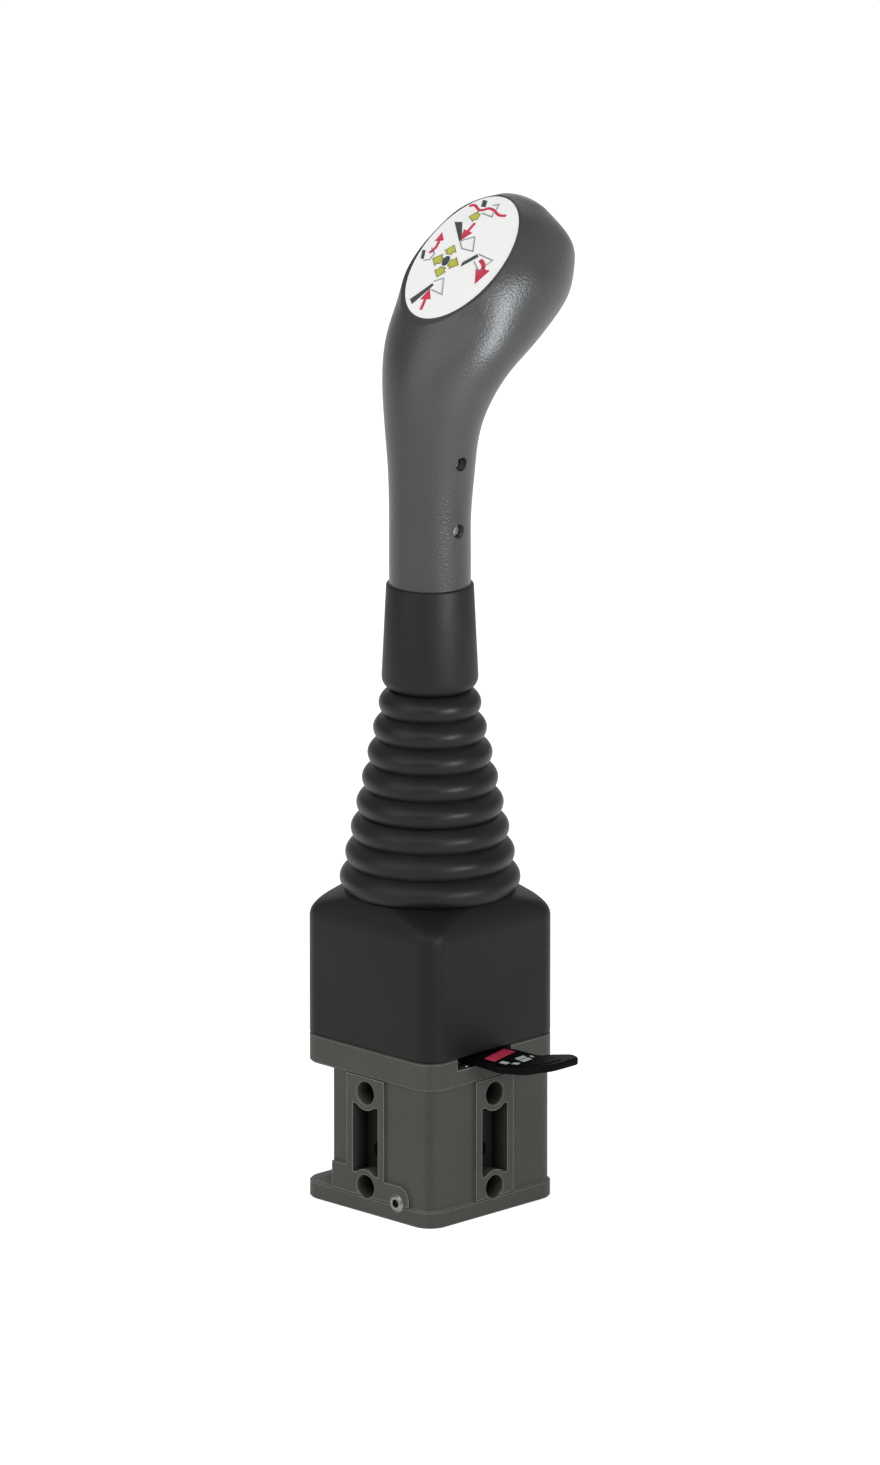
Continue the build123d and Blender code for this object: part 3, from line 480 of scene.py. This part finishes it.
def smoothRows(rows, count):
    # natural cubic spline through every section, spaced by the distance between the sections' middles
    rows = np.array(rows, float)
    middles = np.stack([(rows[:, 0] + rows[:, 2]) / 2, (rows[:, 1] + rows[:, 3]) / 2], 1)
    along = np.concatenate([[0], np.cumsum(np.linalg.norm(np.diff(middles, axis=0), axis=1))])
    size = len(along)
    gaps = np.diff(along)
    system = np.eye(size)
    target = np.zeros_like(rows)
    for i in range(1, size - 1):
        system[i, i - 1:i + 2] = gaps[i - 1], 2 * (gaps[i - 1] + gaps[i]), gaps[i]
        target[i] = 6 * ((rows[i + 1] - rows[i]) / gaps[i] - (rows[i] - rows[i - 1]) / gaps[i - 1])
    bend = np.linalg.solve(system, target)
    made = []
    for place in np.linspace(0, along[-1], count):
        i = min(int(np.searchsorted(along, place, side="right")) - 1, size - 2)
        left, right, gap = place - along[i], along[i + 1] - place, gaps[i]
        made.append(bend[i] * right ** 3 / (6 * gap) + bend[i + 1] * left ** 3 / (6 * gap)
                    + (rows[i] / gap - bend[i] * gap / 6) * right
                    + (rows[i + 1] / gap - bend[i + 1] * gap / 6) * left)
    return made


def ovalRing(row, shrink=1.0, push=0.0):
    # one section of the grip, shrunk about its middle and pushed along its axis
    frontY, frontZ, backY, backZ, half = [value * mm for value in row]
    middle = Vector((0, (frontY + backY) / 2, stemTop + (frontZ + backZ) / 2))
    across = Vector((0, (backY - frontY) / 2, (backZ - frontZ) / 2))
    outward = Vector((1, 0, 0)).cross(across).normalized()
    return [middle + (Vector((half, 0, 0)) * math.cos(a) + across * math.sin(a)) * shrink + outward * push
            for a in turnAngles(grip["columns"])]


def gripShell():
    columns, edge = grip["columns"], grip["endEdge"]
    foot, radius = edge - grip["stemLength"] / mm, grip["stem"] / mm
    start = (-radius, foot, radius, foot, radius)
    boreShare = grip["bore"] / grip["stem"]
    rings = [ovalRing(start, boreShare, grip["boreTop"]), ovalRing(start, boreShare, -edge * mm),
             ovalRing(start, grip["endShrink"], -edge * mm), ovalRing(start)]
    rings += [ovalRing(row) for row in smoothRows(grip["sections"], grip["rows"])]
    rings += [ovalRing(grip["sections"][-1], share, grip["crown"] * mm * (1 - share * share))
              for share in np.linspace(*grip["crownShares"])]
    points = [point for ring in rings for point in ring]
    faces = ringFaces(len(rings), columns)
    faces.append(tuple(range(columns)))
    faces.append(tuple(reversed(range(len(points) - columns, len(points)))))
    piece = newPiece("gripMoulding", points, faces, "selfSkinnedPolyurethane", "lever", 45)
    cutFace(piece)
    drillRecesses(piece)
    finishPiece(piece, "selfSkinnedPolyurethane", 38)
    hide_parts("grip_shell")


def cutFace(piece):
    # slice the head off at the sloping plane, then turn the cut into a rim with a shallow seat for the inlay
    work = bmesh.new()
    work.from_mesh(piece.data)
    everything = work.verts[:] + work.edges[:] + work.faces[:]
    bmesh.ops.bisect_plane(work, geom=everything, plane_co=faceCentre, plane_no=faceNormal, clear_outer=True)
    cut = {vertex for edge in work.edges if edge.is_boundary for vertex in edge.verts}
    loop = sorted(cut, key=lambda vertex: faceAngle(vertex.co))
    inset, lift = grip["softEdge"]
    rings = [loop, [work.verts.new(vertex.co + (faceCentre - vertex.co).normalized() * inset * mm
                                   + faceNormal * lift * mm) for vertex in loop]]
    halfX, halfY = grip["faceHalf"]
    rim, (roundInset, roundLift) = grip["rim"], grip["rimRound"]
    for inset, lift in ((rim - roundInset, roundLift), (rim, 0.0), (rim, -grip["inlayDepth"])):
        angles = [faceAngle(vertex.co) for vertex in loop]
        rings.append([work.verts.new(facePoint((halfX - inset) * math.cos(a), (halfY - inset) * math.sin(a), lift))
                      for a in angles])
    for lower, upper in zip(rings, rings[1:]):
        for i in range(len(loop)):
            after = (i + 1) % len(loop)
            work.faces.new((lower[i], lower[after], upper[after], upper[i]))
    work.faces.new(rings[-1])
    bmesh.ops.recalc_face_normals(work, faces=work.faces)
    work.to_mesh(piece.data)
    work.free()


def drillRecesses(piece):
    # blind recesses for the two clamp screws, drilled in from the side
    columns, radius = grip["drillColumns"], grip["recess"] * mm
    for number, height in enumerate(grip["screwHeights"]):
        points = [(x * mm, radius * math.cos(a), stemTop + height * mm + radius * math.sin(a))
                  for x in (grip["screwSeat"], grip["drillEnd"]) for a in turnAngles(columns)]
        faces = ringFaces(2, columns) + [tuple(range(columns)), tuple(reversed(range(columns, 2 * columns)))]
        mesh = bpy.data.meshes.new("drill")
        mesh.from_pydata(points, [], faces)
        drill = addObject("drill" + str(number), mesh)
        work = bmesh.new()
        work.from_mesh(mesh)
        bmesh.ops.recalc_face_normals(work, faces=work.faces)
        work.to_mesh(mesh)
        work.free()
        cut = piece.modifiers.new("recess", "BOOLEAN")
        cut.operation = "DIFFERENCE"
        cut.solver = "MANIFOLD"
        cut.object = drill
        applyModifiers(piece)
        bpy.data.objects.remove(drill)


def applyModifiers(piece):
    bpy.context.view_layer.update()
    made = bpy.data.meshes.new_from_object(piece.evaluated_get(bpy.context.evaluated_depsgraph_get()))
    piece.modifiers.clear()
    old = piece.data
    piece.data = made
    bpy.data.meshes.remove(old)


gripShell()
print("grip made")


# printed signs on the oval plate: plain pictograms for the two tilting movements, in mm across and up the face
signs = {
    "lift": 0.02, "thick": 0.05,    # height over the face, thickness of the ink
    "shift": (1.0, -0.5),    # moves the whole group
    "slate": [[(-8.7, 25.2), (-6.5, 25.3), (-5.4, 22.5), (-7.6, 22.4)],
              [(-14.6, 13.8), (-11.2, 14.5), (-6.3, 7.5), (-6.7, 6.3)],
              [(-20.3, -0.4), (-18.8, -0.2), (-17.1, -3.9), (-18.6, -3.9)],
              [(1.1, -3.4), (0.7, -1.4), (4.7, 3.2), (6.1, 2.2)],
              [(-11.3, -21.1), (-8.9, -22.8), (-5.1, -13.2), (-6.2, -12.6)]],
    "hub": ((-6.9, -2.5), 1.5, 2.3, 10, 28),    # centre, half width, half height, turn in degrees, points
    "lime": [[(-7.9, 4.5), (-10.3, 1.5), (-9.0, 1.3), (-8.9, 0.3), (-6.3, 0.6), (-6.5, 1.7), (-5.1, 1.9)],
             [(-13.3, -2.8), (-10.4, -5.4), (-10.0, -4.2), (-8.8, -4.2), (-8.6, -1.6), (-9.9, -1.4), (-10.0, -0.2)],
             [(-6.0, -9.7), (-3.9, -6.9), (-5.0, -6.5), (-5.0, -5.2), (-7.6, -5.4), (-7.7, -6.7), (-9.0, -7.1)],
             [(-0.3, -2.9), (-3.3, -0.2), (-3.7, -1.4), (-4.9, -1.4), (-4.8, -4.2), (-3.5, -4.2), (-3.4, -5.3)],
             [(-9.7, 17.2), (-7.2, 20.3), (-6.9, 19.1), (-5.6, 19.2), (-5.4, 16.8), (-6.7, 16.6), (-6.8, 15.7)]],
    "limeEdge": 0.3, "edgeLift": 0.06,    # width of the line round the lime shapes, height over them
    # bucket outlines: points, and whether the line closes
    "grey": [([(-2.7, 23.9), (-0.4, 24.9), (0.0, 22.6)], False), ([(-5.4, 19.9), (0.3, 19.3), (-0.4, 21.0)], False),
             ([(-5.9, 7.2), (-1.4, 9.8), (2.0, 3.9), (-3.5, 3.9), (-5.8, 5.9)], True),
             ([(-16.8, -4.4), (-14.4, -3.5), (-14.0, -0.7), (-17.0, 1.4)], False),
             ([(5.2, 3.3), (13.2, 2.2), (10.1, -3.3), (5.4, 0.0)], False),
             ([(-6.2, -11.7), (-2.8, -9.5), (1.2, -16.1), (-4.9, -15.2)], False)],
    "greyWidth": 0.55, "mitreLimit": 0.4,    # a sharp corner's mitre grows to at most 1 / 0.4 of the line
    # arrows: points of the curve, width, width of the head, 0 for none
    "red": [([(-12.9, 21.5), (-10.7, 22.3), (-7.6, 20.9), (-5.7, 21.2), (-3.6, 22.4), (-0.9, 22.1), (2.7, 20.7),
              (6.0, 21.1)], 1.1, 0),
            ([(-5.4, 15.3), (-6.1, 10.9), (-6.6, 6.9)], 1.3, 4.8),
            ([(-16.5, -0.9), (-15.3, 1.6), (-15.7, 4.8), (-17.0, 8.6)], 1.2, 3.9),
            ([(7.7, 1.2), (10.6, -0.6), (12.1, -3.9), (12.4, -8.9)], 1.7, 6.6),
            ([(-3.5, -24.2), (-4.6, -19.6), (-5.7, -14.9)], 1.3, 4.7)],
    "headLength": 0.95,    # length of an arrow's head as a share of its width
    "curveSteps": 8,    # points drawn between two points of a curve
}


def smoothLine(points):
    # curve through every point, each stretch steered by its neighbours
    points = [Vector(p) for p in points]
    line = []
    for i in range(len(points) - 1):
        a = points[max(i - 1, 0)]
        b, c = points[i], points[i + 1]
        d = points[min(i + 2, len(points) - 1)]
        for step in range(signs["curveSteps"]):
            t = step / signs["curveSteps"]
            line.append(0.5 * ((2 * b) + (c - a) * t + (2 * a - 5 * b + 4 * c - d) * t * t
                               + (3 * b - a - 3 * c + d) * t * t * t))
    line.append(points[-1])
    return line


def strokeOutline(points, width, head):
    # closed outline of a stroke; a head above 0 ends it in an arrow that many mm wide
    line = smoothLine(points)
    if head:
        tip = line[-1]
        while len(line) > 2 and (line[-1] - tip).length < head * signs["headLength"]:
            line.pop()
    left, right = [], []
    for i, point in enumerate(line):
        along = (line[min(i + 1, len(line) - 1)] - line[max(i - 1, 0)]).normalized()
        side = Vector((-along.y, along.x)) * width / 2
        left.append(point + side)
        right.append(point - side)
    if head:
        along = (tip - line[-1]).normalized()
        side = Vector((-along.y, along.x)) * head / 2
        left += [line[-1] + side, tip]
        right += [line[-1] - side]
    return left + right[::-1]


def outlineStrip(points, width, closed):
    # thin line with a mitre at each corner; a closed one returns to its first point
    line = [Vector(p) for p in points + points[:1] * closed]
    left, right = [], []
    for i, point in enumerate(line):
        before = (point - line[i - 1]).normalized() if i else (line[1] - point).normalized()
        after = (line[i + 1] - point).normalized() if i + 1 < len(line) else before
        along = (before + after).normalized()
        side = Vector((-along.y, along.x)) * width / 2 / max(signs["mitreLimit"], along.dot(before))
        left.append(point + side)
        right.append(point - side)
    return left + right[::-1]


def oval(centre, halfAcross, halfUp, turnDegrees, count):
    turn = math.radians(turnDegrees)
    outline = []
    for angle in turnAngles(count):
        x, y = halfAcross * math.cos(angle), halfUp * math.sin(angle)
        outline.append((centre[0] + x * math.cos(turn) - y * math.sin(turn),
                        centre[1] + x * math.sin(turn) + y * math.cos(turn)))
    return outline


def printShapes(name, material, outlines, lift=0.0):
    # each outline becomes a thin film of ink just above the plate
    work = bmesh.new()
    shiftX, shiftY = signs["shift"]
    for outline in outlines:
        points = [facePoint(p[0] + shiftX, p[1] + shiftY, signs["lift"] + lift) for p in outline]
        raisedOutline(work, points, faceNormal * signs["thick"] * mm)
    bmesh.ops.triangulate(work, faces=[f for f in work.faces if len(f.verts) > 4])
    pieceFromWork(work, name, material, "lever", 30)


printShapes("signSlate", "slateInk", signs["slate"] + [oval(*signs["hub"])])
printShapes("signLime", "limeInk", signs["lime"])
printShapes("signLimeEdge", "oliveInk", [outlineStrip(p, signs["limeEdge"], True) for p in signs["lime"]],
            signs["edgeLift"])
printShapes("signGrey", "greyInk", [outlineStrip(p, signs["greyWidth"], closed) for p, closed in signs["grey"]])
printShapes("signRed", "redInk", [strokeOutline(*arrow) for arrow in signs["red"]])
print("signs printed")


# lock lever: a pressed blade with rolled edges on a hub, and the print on its plate; in mm from the frame's axes
lockLow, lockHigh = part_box("lock_plate")
lockLever = {
    "outline": [(26, -14), (33, -12), (48, -13), (56.5, -8), (60, 3), (60, 16), (55, 17.5), (49.5, 11.5), (48, 7.7),
                (36, 7.4), (33, 6), (27.5, -5)],
    "corner": 2.2, "cornerSteps": 6, "edge": 0.7, "edgeSegments": 4,
    "hub": (25, -10, 4.9), "shaft": 2.6, "hubEdge": 0.5, "hubColumns": 64,    # hub: X, Y, radius
    "inkThick": 0.05,
    "plateRed": [(33.9, 3.6), (39.2, 4.2), (43, -10.4), (37.7, -10.2)],
    "platePale": [[(45.2, -10.2), (48.4, -9.9), (48, -7.4), (44.6, -7.6)],
                  [(49.4, -8.4), (51.6, -7), (50.7, -4.8), (48.9, -6.2)],
                  [(45.3, -2.4), (44.8, 2.4), (47, 2.1), (47.6, -2.9)],
                  [(48.3, -3.1), (47.8, 1.9), (50.2, 1.7), (50.8, -3)],
                  [(46.2, 4.2), (47.8, 4.5), (49.4, 3.7), (48, 3.2)]],
}


def roundedOutline(points, radius, steps):
    points = [Vector(p) for p in points]
    outline = []
    for i, point in enumerate(points):
        towards, away = points[i - 1] - point, points[(i + 1) % len(points)] - point
        reach = min(radius, towards.length * 0.45, away.length * 0.45)    # two roundings never meet on a short side
        start, end = point + towards.normalized() * reach, point + away.normalized() * reach
        for step in range(steps + 1):
            t = step / steps
            outline.append(start * (1 - t) ** 2 + point * 2 * t * (1 - t) + end * t ** 2)
    return outline


def slab(name, outline, bottom, top, edge, material):
    # flat piece on the lock lever, with its top and bottom edges rounded over
    work = bmesh.new()
    raisedOutline(work, [(p[0] * mm, p[1] * mm, bottom) for p in outline], (0, 0, top - bottom))
    if edge:
        rims = [e for e in work.edges if abs(e.verts[0].co.z - e.verts[1].co.z) < 1e-7]    # the level edges
        bmesh.ops.bevel(work, geom=rims, offset=edge * mm, segments=lockLever["edgeSegments"], profile=0.5,
                        affect="EDGES")
    return pieceFromWork(work, name, material, "lock_lever", 40)


def lockBlade():
    outline = roundedOutline(lockLever["outline"], lockLever["corner"], lockLever["cornerSteps"])
    blade = slab("lockBlade", outline, lockLow[2], lockHigh[2], lockLever["edge"], "blackOxideSteel")
    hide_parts("lock_plate")


def lockHub():
    x, y, radius = lockLever["hub"]
    shaft, edge = lockLever["shaft"], lockLever["hubEdge"]
    low, high = lockLow[2] / mm, lockHigh[2] / mm
    profile = [(shaft, low), (radius - edge, low), (radius, low + edge), (radius, high - edge),
               (radius - edge, high), (shaft, high), (shaft, low)]
    points = [((x + r * math.cos(a)) * mm, (y + r * math.sin(a)) * mm, z * mm)
              for r, z in profile for a in turnAngles(lockLever["hubColumns"])]
    newPiece("lockHub", points, ringFaces(len(profile), lockLever["hubColumns"]), "blackOxideSteel", "lock_lever")


def lockPrint(name, outline, material):
    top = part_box("lock_label")[1][2]
    slab(name, outline, top, top + lockLever["inkThick"] * mm, 0, material)


lockBlade()
lockHub()
lockPrint("lockSignRed", lockLever["plateRed"], "redInk")
for number, outline in enumerate(lockLever["platePale"]):
    lockPrint("lockSignPale" + str(number), outline, "paleInk")
print("lock lever made")


# floor, room light, lamps and camera
studio = {
    "floor": "CBCBCB", "floorSize": 30.0,
    "floorLift": 0.78,    # whitens the floor where it is seen or mirrored, without lighting the object
    "ambient": 0.38,
    "azimuth": 45.0, "elevation": 15.4, "distance": 7.304, "aim": (0, 0, 0.17315), "aside": 0.00359,
    "lens": 500.0, "sensor": 36.0, "clip": (0.5, 60.0),
    # each lamp: place, height of its aim on the lever axis, width and height, watts, colour, spread in degrees
    "lamps": {
        "keyLight": ((-0.2, -1.3, 0.85), 0.2, (1.2, 1.2), 8.6, (1.0, 0.985, 0.955), 180),
        "sidePanel": ((1.05, -0.3, 0.38), 0.28, (0.14, 0.6), 1.3, (0.96, 0.9, 1.0), 180),
        "gripSpot": ((1.05, 0.02, 0.43), 0.36, (0.24, 0.24), 0.62, (0.9, 0.96, 1.0), 40),    # gridded, for the head
        "frontPanel": ((0.72, -0.72, 1.0), 0.15, (0.9, 0.35), 3.0, (1.0, 1.0, 1.0), 180),
        "backPanel": ((-0.9, 0.9, 0.9), 0.2, (1.3, 1.2), 4.0, (1.0, 1.0, 1.0), 180),
    },
}


def mattPaper():
    # matt white paper: keeps the soft shadow and gives back no gloss, and reads white as a background
    made = bpy.data.materials.new("mattWhitePaper")
    made.use_nodes = True
    tree = made.node_tree
    tree.nodes.clear()
    paper = addNode(tree, "ShaderNodeBsdfDiffuse", {"Color": linear(studio["floor"])})
    path = addNode(tree, "ShaderNodeLightPath")
    seen = addNode(tree, "ShaderNodeMath", {"operation": "MAXIMUM"},
                   {0: path.outputs["Is Camera Ray"], 1: path.outputs["Is Glossy Ray"]}).outputs[0]
    seen = addNode(tree, "ShaderNodeMath", {"operation": "MAXIMUM"},
                   {0: seen, 1: path.outputs["Is Transmission Ray"]}).outputs[0]
    lift = addNode(tree, "ShaderNodeMath", {"operation": "MULTIPLY", 1: studio["floorLift"]}, {0: seen}).outputs[0]
    glow = addNode(tree, "ShaderNodeEmission", {"Color": (1, 1, 1, 1)}, {"Strength": lift})
    both = addNode(tree, "ShaderNodeAddShader", None, {0: paper.outputs[0], 1: glow.outputs[0]})
    addNode(tree, "ShaderNodeOutputMaterial", None, {"Surface": both.outputs[0]})
    return made


def studioFloor():
    half = studio["floorSize"] / 2
    mesh = bpy.data.meshes.new("paperSweep")
    mesh.from_pydata([(-half, -half, 0), (half, -half, 0), (half, half, 0), (-half, half, 0)], [], [(0, 1, 2, 3)])
    mesh.materials.append(mattPaper())
    addObject("paperSweep", mesh)


def studioWorld():
    world = bpy.data.worlds.new("softRoom")
    bpy.context.scene.world = world
    world.use_nodes = True
    tree = world.node_tree
    tree.nodes.clear()
    back = addNode(tree, "ShaderNodeBackground", {"Color": (1, 1, 1, 1), "Strength": studio["ambient"]})
    addNode(tree, "ShaderNodeOutputWorld", None, {"Surface": back.outputs[0]})


def softBox(name, place, aimHeight, size, watts, colour, spread):
    light = bpy.data.lights.new(name, "AREA")
    light.shape = "RECTANGLE"
    light.spread = math.radians(spread)
    light.size, light.size_y = size
    light.energy, light.color = watts, colour
    lamp = addObject(name, light)
    lamp.location = place
    lamp.rotation_euler = (Vector((0, 0, aimHeight)) - Vector(place)).to_track_quat("-Z", "Y").to_euler()


def studioCamera():
    azimuth, elevation = math.radians(studio["azimuth"]), math.radians(studio["elevation"])
    right = Vector((math.cos(azimuth), math.sin(azimuth), 0))
    back = Vector((math.sin(azimuth) * math.cos(elevation), -math.cos(azimuth) * math.cos(elevation),
                   math.sin(elevation)))
    lens = bpy.data.cameras.new("camera")
    lens.lens, lens.sensor_width = studio["lens"], studio["sensor"]
    lens.clip_start, lens.clip_end = studio["clip"]
    camera = addObject("camera", lens)
    camera.location = Vector(studio["aim"]) + right * studio["aside"] + back * studio["distance"]
    camera.rotation_euler = (-back).to_track_quat("-Z", "Y").to_euler()
    bpy.context.scene.camera = camera


studioFloor()
studioWorld()
for name, lamp in studio["lamps"].items():
    softBox(name, *lamp)
studioCamera()
bpy.context.scene.view_settings.view_transform = "Standard"
print("studio ready")
